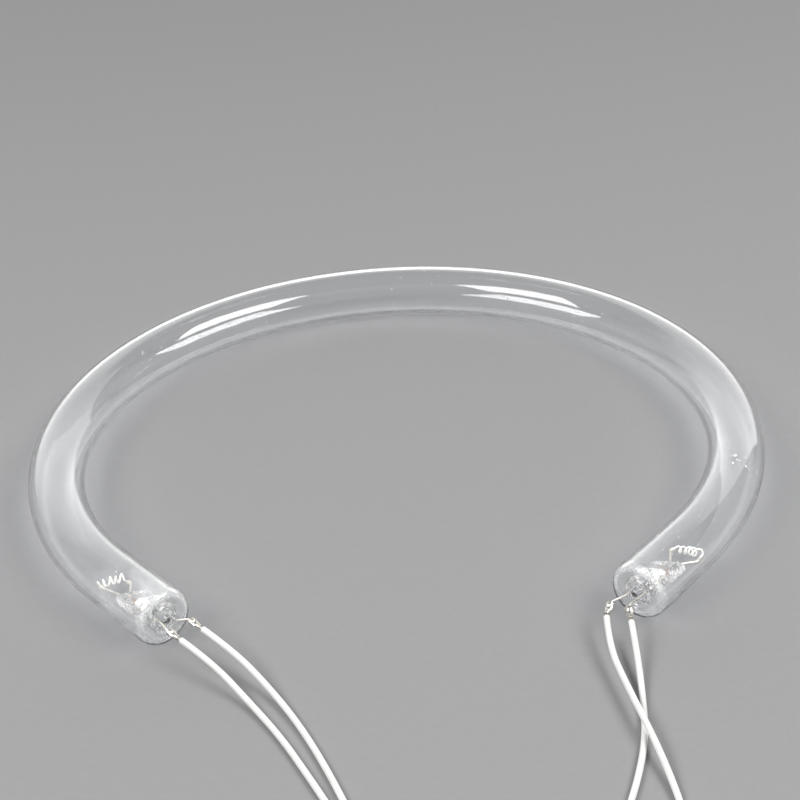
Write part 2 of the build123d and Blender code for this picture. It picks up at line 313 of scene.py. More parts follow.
def closed_skin(rings):
    """Points, face corners and face sizes of a closed skin over rings of points.

    Point j of ring i joins point j + 1 of its ring and the same two points of ring i + 1 in a
    quad. The first and the last ring are each closed by triangles round their middle point. The
    enclosed volume is a sixth of the sum of a . (b x c) over the triangles; where it comes out
    negative the faces are turned over, so that they point outwards.
    """
    count, around = rings.shape[:2]
    points = np.vstack([rings.reshape(-1, 3), rings[0].mean(0), rings[-1].mean(0)])
    here = np.arange(around)
    after = np.roll(here, -1)
    row = np.arange(count - 1)[:, None] * around
    quads = np.stack([row + here, row + after, row + around + after, row + around + here], axis=2)
    quads = quads.reshape(-1, 4)
    last = (count - 1) * around
    first_pole = np.full(around, count * around)
    fans = np.vstack(
        [
            np.stack([after, here, first_pole], axis=1),
            np.stack([last + here, last + after, first_pole + 1], axis=1),
        ]
    )
    triangles = np.vstack([quads[:, [0, 1, 2]], quads[:, [0, 2, 3]], fans])
    a, b, c = (points[triangles[:, corner]] for corner in range(3))
    if np.einsum("ij,ij->i", a, np.cross(b, c)).sum() < 0:
        quads, fans = quads[:, ::-1], fans[:, ::-1]
    corners = np.concatenate([quads.ravel(), fans.ravel()])
    sizes = np.concatenate([np.full(len(quads), 4), np.full(len(fans), 3)])
    return points, corners, sizes


def hollow(skin):
    """The same skin with its faces turned over, as the wall of a space inside a solid."""
    points, corners, sizes = skin
    starts = np.cumsum(sizes) - sizes
    owner = np.repeat(np.arange(len(sizes)), sizes)
    step = np.arange(len(corners)) - starts[owner]
    return points, corners[starts[owner] + sizes[owner] - 1 - step], sizes


def make_piece(name, skins, material, stands_for, maps=None, marks=None):
    """One smooth-shaded mesh object from closed skins, riding on the lamp and standing for its CAD nodes."""
    offsets = np.cumsum([0] + [len(points) for points, _, _ in skins])
    points = np.vstack([skin[0] for skin in skins]).astype(np.float32)
    corners = np.concatenate([skin[1] + offset for skin, offset in zip(skins, offsets)]).astype(np.int32)
    sizes = np.concatenate([skin[2] for skin in skins]).astype(np.int32)
    mesh = bpy.data.meshes.new(name)
    mesh.vertices.add(len(points))
    mesh.vertices.foreach_set("co", points.ravel())
    mesh.loops.add(len(corners))
    mesh.loops.foreach_set("vertex_index", corners)
    mesh.polygons.add(len(sizes))
    mesh.polygons.foreach_set("loop_start", (np.cumsum(sizes) - sizes).astype(np.int32))
    mesh.polygons.foreach_set("use_smooth", np.ones(len(sizes), bool))
    mesh.update(calc_edges=True)
    if mesh.validate():
        raise RuntimeError(f"{name} has faulty faces")
    if maps is not None:
        layer = mesh.uv_layers.new(name="along_and_round")
        layer.data.foreach_set("uv", np.vstack(maps)[corners].astype(np.float32).ravel())
    for mark, values in (marks or {}).items():
        layer = mesh.attributes.new(mark, "FLOAT", "POINT")
        layer.data.foreach_set("value", np.concatenate(values).astype(np.float32))
    mesh.materials.append(material)
    piece = bpy.data.objects.new(name, mesh)
    bpy.context.scene.collection.objects.link(piece)
    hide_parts(*stands_for)
    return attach(piece, "root")


def tube_length(glass):
    """Length of the tube's centreline: two legs and the arc between them."""
    return 2 * glass.leg_length + glass.ring_radius * 2 * (np.pi - glass.gap_half_angle)


def ring_frame(distance, glass):
    """Centre, outward and travel directions at distances along the tube from the right-hand end plane.

    The ring's radial direction at angle a is (sin a, -cos a) and its direction of travel is
    (cos a, sin a). a grows with distance over radius along the arc and is held on the two legs,
    where the centre runs straight on in the direction of travel.
    """
    arc = tube_length(glass) - 2 * glass.leg_length
    run = np.minimum(distance - glass.leg_length, 0) + np.maximum(distance - glass.leg_length - arc, 0)
    turn = glass.gap_half_angle + (distance - glass.leg_length - run) / glass.ring_radius
    flat = np.zeros_like(turn)
    outward = np.stack([np.sin(turn), -np.cos(turn), flat], axis=-1)
    travel = np.stack([np.cos(turn), np.sin(turn), flat], axis=-1)
    centre = np.array(RING_MIDDLE) + glass.ring_radius * outward + run[..., None] * travel
    return centre, outward, travel


def stem_depths(glass):
    """Depths from the end plane at which a stem's neck, pinch and press begin, and the press ends."""
    neck = glass.tube_diameter / 2 - glass.rim_round - glass.stem_bore / 2
    pinch = neck + glass.stem_straight
    press = pinch + glass.pinch_length
    return neck, pinch, press, press + glass.press_length


def press_axes(outward, glass):
    """Directions of a press's width and thickness: outward and up, turned by the stem's roll."""
    lean, rise = np.cos(glass.stem_roll), np.sin(glass.stem_roll)
    return outward * lean + UP * rise, outward * rise - UP * lean


def in_lamp(end, place, glass):
    """Points at an end of the lamp from (width, height, depth) rows.

    P = centre at that depth + width * across + height * thick, where across and thick are the
    press's two directions. The left end mirrors the right.
    """
    width, height, depth = np.moveaxis(np.asarray(place, float), -1, 0)
    centre, outward, _ = ring_frame(np.zeros(1), glass)
    across, thick = press_axes(outward[0], glass)
    inward = np.cross(across, thick)
    points = centre[0] + width[..., None] * across + height[..., None] * thick + depth[..., None] * inward
    return points if end == "right" else points * np.array([-1.0, 1.0, 1.0])


def way_in_lamp(end, way, glass):
    """A direction given by width, height and depth, at an end of the lamp."""
    tip, foot = in_lamp(end, [way, (0, 0, 0)], glass)
    return tip - foot


def straight_run(first, last, count, *sizes):
    """Rows of a stretch whose sizes stay the same: evenly spaced distances, with the sizes beside."""
    return np.column_stack([np.linspace(first, last, count), np.tile(sizes, (count, 1))])


def curve_in_section(centre, radii, first, last, count, fullness=ROUND):
    """(depth, radius) rows along an arc: depth = c0 + r0 c(a), radius = c1 + r1 s(a).

    c and s are the cosine and sine to the power 2 / fullness, so 2 gives a round arc and more a
    blunter one.
    """
    angle = np.radians(np.linspace(first, last, count))
    c, s = blunt(np.cos(angle), 2 / fullness), blunt(np.sin(angle), 2 / fullness)
    return np.stack([centre[0] + radii[0] * c, centre[1] + radii[1] * s], axis=1)


def blend_in_section(knots, count):
    """(depth, radius) rows on a cubic curve: the sum of four knots by Bernstein's weights."""
    t = np.linspace(0, 1, count)[:, None]
    a, b, c, d = np.asarray(knots, float)
    return a * (1 - t) ** 3 + 3 * b * t * (1 - t) ** 2 + 3 * c * t**2 * (1 - t) + d * t**3


def smooth_step(t):
    """3 t^2 - 2 t^3, held at 0 and 1 outside."""
    t = np.clip(t, 0, 1)
    return t * t * (3 - 2 * t)


def mirrored(rows, length):
    """The same rows in reverse, counted from the other end of a length."""
    other = rows[::-1].copy()
    other[:, 0] = length - other[:, 0]
    return other


def both_ends(end, glass):
    """The rows of one end, the arc at the last row's size, and the same rows for the other end."""
    length = tube_length(glass)
    arc = straight_run(glass.leg_length, length - glass.leg_length, 240, *end[-1, 1:])
    return np.vstack([end, arc, mirrored(end, length)])


def leg_run(radius, glass):
    """Rows of the straight leg between the rim and the arc."""
    return straight_run(glass.rim_round + 0.8 * MM, glass.leg_length - 1.0 * MM, 16, radius)


def round_sections(rows):
    """Distance, half width, half height and squareness rows from distance and radius rows."""
    return np.column_stack([rows, rows[:, 1], np.full(len(rows), ROUND)])


def air_side(glass):
    """Rows of the glass's outside, from one exhaust tip to the other.

    The tip is a quarter circle, then come the exhaust tube, the groove where it meets the stem's
    bore, the bore, the bell mouth, a quarter circle too, the blunter rim, and the tube itself.
    """
    tip = glass.exhaust_diameter / 2
    bore = glass.stem_bore / 2
    outside = glass.tube_diameter / 2
    rim = glass.rim_round
    lip = outside - rim
    bell, bottom = stem_depths(glass)[:2]
    groove = [
        (bottom - 0.3 * MM, tip),
        (bottom + 1.2 * MM, tip),
        (bottom + 0.6 * MM, bore),
        (bottom - 1.6 * MM, bore),
    ]
    end = np.vstack(
        [
            curve_in_section((tip - glass.exhaust_proud, 0), (tip, tip), 178, 92, 14),
            straight_run(tip - glass.exhaust_proud, bottom - 0.6 * MM, 8, tip),
            blend_in_section(groove, 14),
            straight_run(bottom - 2.0 * MM, bell + 0.2 * MM, 26, bore),
            curve_in_section((bell, lip), (bell, bell), 270, 180, 24),
            curve_in_section((rim, lip), (rim, rim), 179.5, 90.5, 24, RIM_FULLNESS),
            leg_run(outside, glass),
        ]
    )
    return both_ends(round_sections(end), glass)


def vacuum_side(glass):
    """Rows of the space inside, from press to press.

    From the bore of the tube the glass turns in at the rim, flares back to the stem's neck and
    narrows into the press by a smooth step. The press's inner edge is rounded by a quarter circle.
    Squareness is the power of the section's superellipse.
    """
    wall = glass.tube_wall
    rim = glass.rim_round
    bore = glass.tube_diameter / 2 - wall
    lip = glass.tube_diameter / 2 - rim
    neck = glass.stem_bore / 2 + glass.stem_wall
    flare, pinch, press, top = stem_depths(glass)
    wide, thin = glass.press_width / 2, glass.press_thickness / 2
    turn = 1.1 * MM

    angle = np.radians(np.linspace(86, 0, 9))
    inset = turn * (1 - np.cos(angle))
    squareness = np.full(9, PRESS_SQUARENESS)
    edge = np.stack([top - turn + turn * np.sin(angle), wide - inset, thin - inset, squareness], axis=1)
    cap = np.repeat(edge[:1], 4, axis=0)
    cap[:, 1:3] *= np.array([0.04, 0.3, 0.6, 0.85])[:, None]
    flat = straight_run(top - turn, press, 31, wide, thin, PRESS_SQUARENESS)[1:]
    t = np.linspace(1, 0, 29)[1:, None]
    narrow = np.array([neck, neck, ROUND])
    broad = np.array([wide, thin, PRESS_SQUARENESS])
    neck_in = np.hstack([pinch + t * glass.pinch_length, narrow + smooth_step(t) * (broad - narrow)])
    rounds = np.vstack(
        [
            straight_run(pinch - 0.15 * MM, flare + 0.15 * MM, 36, neck),
            curve_in_section((flare, lip), (flare - wall, lip - neck), 270, 182, 16),
            curve_in_section((rim, lip), (rim - wall, rim - wall), 179.5, 90.5, 20, RIM_FULLNESS),
            leg_run(bore, glass),
        ]
    )
    return both_ends(np.vstack([cap, edge, flat, neck_in, round_sections(rounds)]), glass)


def waves(u, v, seed):
    """A smooth random-looking sum of five sines of u and v, between about -1 and 1."""
    rng = np.random.default_rng(seed)
    total = np.zeros(np.broadcast(u, v).shape)
    for frequency in (1.0, 1.7, 2.6, 3.9, 5.3):
        a, b = rng.uniform(0.5, 1.5, 2) * frequency
        total = total + np.sin(a * u + b * v + rng.uniform(0, 2 * np.pi)) / frequency
    return total / 1.9


def glass_rings(rows, glass, around, seed):
    """Rings of a glass skin, their places along and round the tube, its worked mark, and its mark of painted
    glints: white frost that stands in for the glass's bright reflections.

    P = centre + w across + h thick with w = half width * sgn(cos q) |cos q|^(2/n) and h the same of
    sin q, where across and thick are the press's two directions. Hand work is added as waves: on
    the press, lumps on h, and dimples by the pinch, both times |sin q|, and 3.5 percent on w. Its
    inner edge sinks by up to 0.35 mm between two ears. The tube wavers by 0.07 percent, or 6
    thousandths of a millimetre. The neck and the mouth have creases, 1 - 2 |waves|, and waves.
    """
    distance, wide, high, square = rows.T[..., None]
    length = tube_length(glass)
    depth = np.minimum(distance, length - distance)
    press = stem_depths(glass)[2]
    top = np.max(depth, where=square > 2.5, initial=0.0)
    q = angles_round(around)
    cos, sin = np.cos(q), np.sin(q)
    width = wide * blunt(cos, 2 / square)
    height = high * blunt(sin, 2 / square)

    pressed = smooth_step((square - ROUND) / 1.2)
    lumps = waves(width / (0.6 * MM), depth / (0.55 * MM) + np.sign(sin), seed)
    near_pinch = smooth_step((press + 2.1 * MM - depth) / MM) * smooth_step((square - ROUND) / 0.3)
    dimples = waves(width / (0.9 * MM), depth / (0.7 * MM) - 2 * np.sign(sin), seed + 9)
    height = height + glass.ripple * (pressed * lumps + 1.6 * near_pinch * dimples) * np.abs(sin)
    width = width * (1 + 0.035 * pressed * waves(depth / (1.1 * MM), sin, seed + 1))
    ears = 0.35 * MM * pressed * (1 - (width / (glass.press_width / 2)) ** 2)
    sunk = ears * smooth_step((depth - (top - 3 * MM)) / (3 * MM))

    narrow = smooth_step((6.4 * MM - wide) / (2 * MM))
    worked = (1 - pressed**3) * narrow * smooth_step((press + 2.5 * MM - depth) / (3 * MM))
    creases = 1 - 2 * np.abs(waves(depth / (0.9 * MM), 3 * sin, seed + 4))
    rumple = 0.6 * creases + 0.5 * waves(depth / (0.8 * MM), 4 * cos, seed + 5)
    wavy = 1 + 0.0007 * waves(distance / (9 * MM), 2 * q, seed + 2) * (1 - pressed)
    wavy = wavy + worked * glass.ripple * rumple / np.maximum(wide, 2 * MM)

    aside = glass.press_offset * smooth_step((square - ROUND) / (PRESS_SQUARENESS - ROUND))
    inward = np.where(distance < length / 2, 1.0, -1.0)
    centre, outward, travel = ring_frame(distance[:, 0], glass)
    across, thick = press_axes(outward, glass)
    rings = (
        centre[:, None]
        + (width * wavy + aside)[..., None] * across[:, None]
        + (height * wavy)[..., None] * thick[:, None]
        - (sunk * inward)[..., None] * travel[:, None]
    )

    # Painted glints: a white frost mark that stands in for the bright reflections at the press's edges, on
    # the neck and mouth and round the rim.
    painted_glints = paint_glints_on_glass(width, wide, depth, sin, pressed, worked, top, seed)
    marks = {"painted_glints": painted_glints, "worked": np.maximum(pressed, worked) * np.ones_like(width)}
    marks = {mark: np.concatenate([values.ravel(), [0.0, 0.0]]) for mark, values in marks.items()}

    along = np.broadcast_to(distance, width.shape)
    fold = np.broadcast_to(np.abs(q / np.pi - 1), width.shape)
    places = np.stack([along * MAP_SCALE, fold], axis=2).reshape(-1, 2)
    return rings, np.vstack([places, places[:1], places[-1:]]), marks


def paint_glints_on_glass(width, wide, depth, sin, pressed, worked, top, seed):
    """Share of painted glints on a glass skin, from 0 to 1: white frost that stands in for the bright
    reflections at the glass's edges and wrinkles.

    On the press it is (|w| / half width)^14 towards the side edges, a smooth step at the inner edge
    and thin streaks. The neck and the mouth have it on fine wrinkles, and the rim all over.
    """
    side_edge = (np.abs(width) / wide) ** 14
    inner_edge = smooth_step((depth - (top - 0.7 * MM)) / (0.5 * MM))
    streaks = smooth_step((waves(width / (0.3 * MM), depth / (1.6 * MM), seed + 6) - 0.4) / 0.2)
    wrinkles = smooth_step((waves(depth / (0.3 * MM), 3 * sin, seed + 7) - 0.4) / 0.15)
    painted_glints = 0.8 * pressed * np.clip(side_edge + inner_edge + 0.15 * streaks, 0, 1)
    painted_glints = painted_glints + 0.22 * worked * wrinkles
    rim = smooth_step((3.4 * MM - depth) / (2.0 * MM)) * smooth_step((wide - 5.4 * MM) / (1.2 * MM))
    return np.maximum(painted_glints, 0.42 * rim)


def bore_rings(start, finish, radius, count=14, around=24):
    """Rings of a round bore between two points, with its two ends rounded by half circles."""
    length = np.linalg.norm(finish - start)
    axis = unit(finish - start)
    angle = np.radians(np.linspace(-88, 88, count))
    low, high = radius * (np.sin(angle) + 1), length + radius * (np.sin(angle) - 1)
    reach = np.where(angle < 0, low, high)
    side = unit(np.cross(axis, [0.3, 0.2, 1.0]))
    q = angles_round(around)[:, None]
    circle = np.cos(q) * side + np.sin(q) * np.cross(axis, side)
    return start + reach[:, None, None] * axis + (radius * np.cos(angle))[:, None, None] * circle


def ball_rings(centre, diameter, count, around, pole=88.0, flatness=(1.0, 1.0)):
    """Rings of a bubble or a bead: P = centre + r (cos a cos q, cos a sin q, f sin a).

    f is the first flatness below the middle and the second above it.
    """
    angle = np.radians(np.linspace(-pole, pole, count))[:, None]
    q = angles_round(around)
    radius = diameter / 2
    x = radius * np.cos(angle) * np.cos(q)
    y = radius * np.cos(angle) * np.sin(q)
    z = radius * np.sin(angle) * np.where(angle < 0, *flatness) + 0 * q
    return centre + np.stack([x, y, z], axis=2)


# Wires and rods


def path_length(path):
    """Length of a path of points."""
    return np.linalg.norm(np.diff(path, axis=0), axis=1).sum()


def rounded_path(points, radius, spacing):
    """Points at even spacing along straight runs whose corners are tangent arcs of the given radius.

    At a corner that turns by t the arc starts radius * tan(t / 2) before it, or at 0.45 of the
    shorter run if that is less, and runs on the circle that touches both runs.
    """
    points = np.asarray(points, float)
    pieces = [points[:1]]
    for before, corner, after in zip(points, points[1:], points[2:]):
        run_in, run_out = corner - before, after - corner
        way_in, way_out = unit(run_in), unit(run_out)
        half = np.arccos(np.clip(way_in @ way_out, -1, 1)) / 2
        if half < 1e-4:
            continue
        cut = min(radius * np.tan(half), 0.45 * min(np.linalg.norm(run_in), np.linalg.norm(run_out)))
        bend = cut / np.tan(half)
        middle = corner + unit(way_out - way_in) * bend / np.cos(half)
        from_middle = corner - way_in * cut - middle
        swing = np.linspace(0, 2 * half, 9)[:, None]
        pieces.append(middle + np.cos(swing) * from_middle + np.sin(swing) * way_in * bend)
    pieces.append(points[-1:])
    path = np.vstack(pieces)
    steps = np.linalg.norm(np.diff(path, axis=0), axis=1)
    travelled = np.concatenate([[0], np.cumsum(steps)])
    count = max(int(travelled[-1] / spacing), 4)
    even = np.linspace(0, travelled[-1], count)
    return np.stack([np.interp(even, travelled, path[:, axis]) for axis in range(3)], axis=1)


def swept_rings(path, wide, high, reference, around=20, square=ROUND, radial=None):
    """Rings carried along a path, square to it.

    The direction of travel is the path's gradient, side is reference x travel, and the third
    direction is travel x side. P = path + wide * c(q) * side + high * s(q) * third, where c and s
    are the cosine and sine to the power 2 / square, times one plus the radial term if there is one.
    """
    travel = unit(np.gradient(path, axis=0))
    side = unit(np.cross(reference, travel))
    third = np.cross(travel, side)
    q = angles_round(around)
    power, wide, high = (
        np.broadcast_to(size, len(path))[:, None] for size in (2 / np.asarray(square), wide, high)
    )
    c, s = wide * blunt(np.cos(q), power), high * blunt(np.sin(q), power)
    if radial is not None:
        c, s = c * (1 + radial), s * (1 + radial)
    return path[:, None] + c[..., None] * side[:, None] + s[..., None] * third[:, None]


def rounded_ends(count, length, reach, least=0.004):
    """Share of its full size that a rod has along its length, with its ends rounded over a reach.

    It is sqrt(1 - (1 - x / reach)^2) at a distance x from an end, and no less than sqrt(least).
    """
    x = np.linspace(0, length, count)
    near = np.clip(np.minimum(x, length - x) / reach, 0, 1)
    return np.sqrt(np.clip(1 - (1 - near) ** 2, least, 1))


def round_rod(path, diameter, reference=(0.31, 0.17, 0.94), around=20, radial=None):
    """Rings of a round wire along a path, with rounded ends."""
    size = diameter / 2 * rounded_ends(len(path), path_length(path), diameter / 2)
    return swept_rings(path, size, size, np.asarray(reference), around, radial=radial)


def wire_route(name):
    """Control points of an insulated wire."""
    return np.array(WIRE_ROUTES[name]) * MM


def splice_places(name, metal):
    """Start, middle and end of the splice sleeve on a wire, and the sleeve's direction."""
    route = wire_route(name)
    way = unit(route[1] - route[0])
    end = route[0] - way * BARE_STRANDS
    lean = np.array(SLEEVE_LEANS.get(name, (0.0, 0.0, 0.0))) * MM
    way = unit(way * metal.sleeve_length - lean)
    return end - way * metal.sleeve_length, end - way * metal.sleeve_length / 2, end, way


# Materials


def node(tree, kind, inputs=None, **settings):
    """A shader node with its settings, and its inputs set to values or linked to outputs."""
    made = tree.nodes.new(kind)
    for name, value in settings.items():
        setattr(made, name, value)
    for socket, value in (inputs or {}).items():
        if isinstance(value, bpy.types.NodeSocket):
            tree.links.new(value, made.inputs[socket])
        else:
            made.inputs[socket].default_value = value
    return made


def colour(values):
    """A colour with full alpha."""
    return (*values, 1.0)


def new_finish(name, **sockets):
    """A material with one Principled shader whose sockets are set directly."""
    material = bpy.data.materials.new(name)
    material.use_nodes = True
    tree = material.node_tree
    shader = tree.nodes["Principled BSDF"]
    for socket, value in sockets.items():
        shader.inputs[socket.replace("_", " ")].default_value = value
    return material, tree, shader


def feed(tree, shader, **sockets):
    """Link outputs to the shader's sockets."""
    for socket, output in sockets.items():
        tree.links.new(output, shader.inputs[socket.replace("_", " ")])


def to_surface(tree, output):
    """Link a shader to the material's surface in place of the one there."""
    tree.links.new(output, tree.nodes["Material Output"].inputs["Surface"])


def maths(tree, operation, *values):
    """A math node's result from values and outputs."""
    return node(tree, "ShaderNodeMath", dict(enumerate(values)), operation=operation).outputs[0]


def object_place(tree):
    """The Object coordinates, in metres."""
    return node(tree, "ShaderNodeTexCoord").outputs["Object"]


def grain(tree, scale, detail=3.0, stretch=(1.0, 1.0, 1.0)):
    """A noise value on Object coordinates at a scale per metre."""
    moved = node(tree, "ShaderNodeMapping", {"Vector": object_place(tree), "Scale": stretch})
    inputs = {"Vector": moved.outputs["Vector"], "Scale": scale, "Detail": detail}
    return node(tree, "ShaderNodeTexNoise", inputs).outputs["Fac"]


def ramp(tree, value, low, high, to_low, to_high):
    """A value carried from one range to another and held at its ends."""
    inputs = {"Value": value, "From Min": low, "From Max": high, "To Min": to_low, "To Max": to_high}
    return node(tree, "ShaderNodeMapRange", inputs).outputs["Result"]


def mixed(tree, factor, first, second):
    """A colour between two colours."""
    made = node(tree, "ShaderNodeMix", data_type="RGBA")
    tree.links.new(factor, made.inputs["Factor"])
    made.inputs[6].default_value = colour(first)
    made.inputs[7].default_value = colour(second)
    return made.outputs[2]


def relief(tree, shader, height, distance, strength=1.0):
    """Bump on a shader, from a height value times a distance in metres."""
    made = node(tree, "ShaderNodeBump", {"Height": height, "Distance": distance, "Strength": strength})
    feed(tree, shader, Normal=made.outputs["Normal"])


def let_light_through(tree, shader, passed):
    """Let the lamps' light through a shader in a given colour, as clear glass casts a faint shadow."""
    ray = node(tree, "ShaderNodeLightPath").outputs["Is Shadow Ray"]
    clear = node(tree, "ShaderNodeBsdfTransparent", {"Color": colour(passed)}).outputs[0]
    mix = node(tree, "ShaderNodeMixShader", {"Fac": ray, 1: shader.outputs[0], 2: clear})
    to_surface(tree, mix.outputs[0])


def quartz_finish(glass):
    """Clear quartz: draw lines along the tube, and fine wrinkles where the glass was worked.

    Milky wisps at the ends are painted reflection, standing in for the highlights of the flare and the
    press. Broken white frost where the mesh is marked for it is painted glints, standing in for the bright
    reflections at the glass's edges. These and a few specks of dust all make it pass less light. The dust is
    rough as well.
    """
    material, tree, shader = new_finish(
        "clear_quartz",
        Base_Color=colour(glass.tint),
        Roughness=0.0,
        IOR=glass.refraction,
        Transmission_Weight=1.0,
    )
    map_place = node(tree, "ShaderNodeUVMap", uv_map="along_and_round").outputs["UV"]
    worked = node(tree, "ShaderNodeAttribute", attribute_name="worked").outputs["Fac"]
    marked = node(tree, "ShaderNodeAttribute", attribute_name="painted_glints").outputs["Fac"]

    lines = node(tree, "ShaderNodeMapping", {"Vector": map_place, "Scale": (1.5, 90.0, 1.0)})
    inputs = {"Vector": lines.outputs["Vector"], "Scale": 1.0, "Detail": 2.0}
    drawn = node(tree, "ShaderNodeTexNoise", inputs).outputs["Fac"]
    wrinkled = maths(tree, "MULTIPLY", grain(tree, 1500.0, 2.0), worked)
    height = maths(tree, "ADD", wrinkled, maths(tree, "MULTIPLY", drawn, 0.04))
    relief(tree, shader, height, 0.030 * MM)

    cells = node(tree, "ShaderNodeTexVoronoi", {"Vector": object_place(tree), "Scale": 300.0})
    near = ramp(tree, cells.outputs["Distance"], 0.050, 0.070, 1.0, 0.0)
    few = ramp(tree, grain(tree, 55.0, 1.0), 0.52, 0.57, 0.0, 1.0)
    speck = maths(tree, "MULTIPLY", near, few)

    # Painted reflection: milky white wisps near both ends, stronger at the left, that stand in for the
    # highlights of the flare and the press.
    along = node(tree, "ShaderNodeSeparateXYZ", {"Vector": map_place}).outputs["X"]
    length = tube_length(glass) * MAP_SCALE
    left = ramp(tree, along, length - 0.26, length - 0.12, 0.0, glass.painted_haze)
    right = ramp(tree, along, 0.05, 0.14, glass.painted_haze * 0.3, 0.0)
    wisps = ramp(tree, grain(tree, 110.0, 3.0, (1.0, 0.55, 1.0)), 0.42, 0.66, 0.0, 1.0)
    painted_haze = maths(tree, "MULTIPLY", maths(tree, "ADD", left, right), wisps)
    painted_haze = maths(tree, "MULTIPLY", painted_haze, ramp(tree, worked, 0.0, 0.5, 1.0, 0.0))

    # Painted glints: the marked white frost, broken into grains, stands in for the bright reflections at the
    # press's edges, on the neck and mouth and round the rim.
    broken = ramp(tree, grain(tree, 2600.0, 3.0), 0.38, 0.62, 0.15, 1.0)
    painted_glints = maths(tree, "MULTIPLY", marked, broken)
    spots = maths(tree, "MAXIMUM", maths(tree, "MAXIMUM", speck, painted_haze), painted_glints)
    feed(
        tree,
        shader,
        Transmission_Weight=ramp(tree, spots, 0.0, 1.0, 1.0, 0.2),
        Roughness=ramp(tree, speck, 0.0, 1.0, 0.0, 0.6),
    )
    let_light_through(tree, shader, (0.76, 0.763, 0.768))
    return material


def lead_finish(metal):
    """Drawn nickel-plated wire: fine scratches and dull patches."""
    material, tree, shader = new_finish("nickel_lead", Metallic=1.0)
    dull = grain(tree, 1400.0)
    base = np.array(metal.nickel)
    gloss = ramp(tree, dull, 0.3, 0.7, 0.30, 0.50)
    feed(tree, shader, Base_Color=mixed(tree, dull, base * 0.74, base * 1.12), Roughness=gloss)
    relief(tree, shader, grain(tree, 9000.0, 2.0), 0.01 * MM, 0.4)
    return material


def sleeve_finish(metal):
    """Crimped brass under thin tin: yellow where the tin has worn, small dents."""
    material, tree, shader = new_finish("tinned_brass", Metallic=1.0)
    worn = grain(tree, 1100.0, 4.0)
    brass = (0.80, 0.70, 0.52)
    bare = ramp(tree, worn, 0.56, 0.74, 0.0, 1.0)
    gloss = ramp(tree, worn, 0.3, 0.7, 0.24, 0.42)
    feed(tree, shader, Base_Color=mixed(tree, bare, metal.sleeve, brass), Roughness=gloss)
    relief(tree, shader, grain(tree, 2600.0, 3.0), 0.05 * MM, 0.6)
    return material


def strand_finish():
    """Tinned copper strands with a little copper showing."""
    material, tree, shader = new_finish("tinned_strands", Metallic=1.0)
    worn = grain(tree, 1800.0)
    tin, copper = (0.80, 0.78, 0.75), (0.72, 0.50, 0.36)
    bare = ramp(tree, worn, 0.56, 0.74, 0.0, 1.0)
    gloss = ramp(tree, worn, 0.3, 0.7, 0.25, 0.45)
    feed(tree, shader, Base_Color=mixed(tree, bare, tin, copper), Roughness=gloss)
    return material


def coating_finish(metal):
    """Chalky oxide coating: matt, grainy, slightly greyer in the hollows."""
    material, tree, shader = new_finish("oxide_coating", Roughness=0.9, Specular_IOR_Level=0.2)
    chalk = ramp(tree, grain(tree, 3200.0, 4.0), 0.35, 0.6, 0.0, 1.0)
    hollows = np.array(metal.coating) * 0.86
    feed(tree, shader, Base_Color=mixed(tree, chalk, hollows, metal.coating))
    relief(tree, shader, grain(tree, 9000.0, 3.0), 0.04 * MM, 0.7)
    return material


def press_wire_finish():
    """Copper-clad wire that the hot glass has turned red."""
    material, tree, shader = new_finish("copper_clad", Metallic=0.9)
    oxide = grain(tree, 1600.0)
    dark, red = (0.34, 0.21, 0.17), (0.60, 0.42, 0.35)
    gloss = ramp(tree, oxide, 0.3, 0.7, 0.3, 0.5)
    feed(tree, shader, Base_Color=mixed(tree, oxide, dark, red), Roughness=gloss)
    return material


def insulation_finish(wire):
    """Extruded insulation: satin, with a faint change of gloss and a trace of handling."""
    material, tree, shader = new_finish("white_insulation", Specular_IOR_Level=0.45)
    handled = ramp(tree, grain(tree, 160.0, 4.0), 0.42, 0.75, 0.0, 1.0)
    soiled = np.array(wire.insulation) * (0.93, 0.92, 0.89)
    gloss = ramp(tree, grain(tree, 500.0), 0.3, 0.7, 0.34, 0.48)
    feed(tree, shader, Base_Color=mixed(tree, handled, wire.insulation, soiled), Roughness=gloss)
    relief(tree, shader, grain(tree, 2200.0, 2.0), 0.015 * MM, 0.5)
    return material


def mercury_finish():
    """Liquid mercury with a faint skin."""
    material, tree, shader = new_finish(
        "liquid_mercury", Metallic=1.0, Base_Color=colour((0.90, 0.91, 0.93))
    )
    feed(tree, shader, Roughness=ramp(tree, grain(tree, 2500.0), 0.4, 0.7, 0.14, 0.30))
    return material


# Operators


def facing(side, up, back, place):
    """The pose of a camera or a lamp from its three directions and its place."""
    pose = Matrix((side, up, back)).transposed().to_4x4()
    pose.translation = place
    return pose


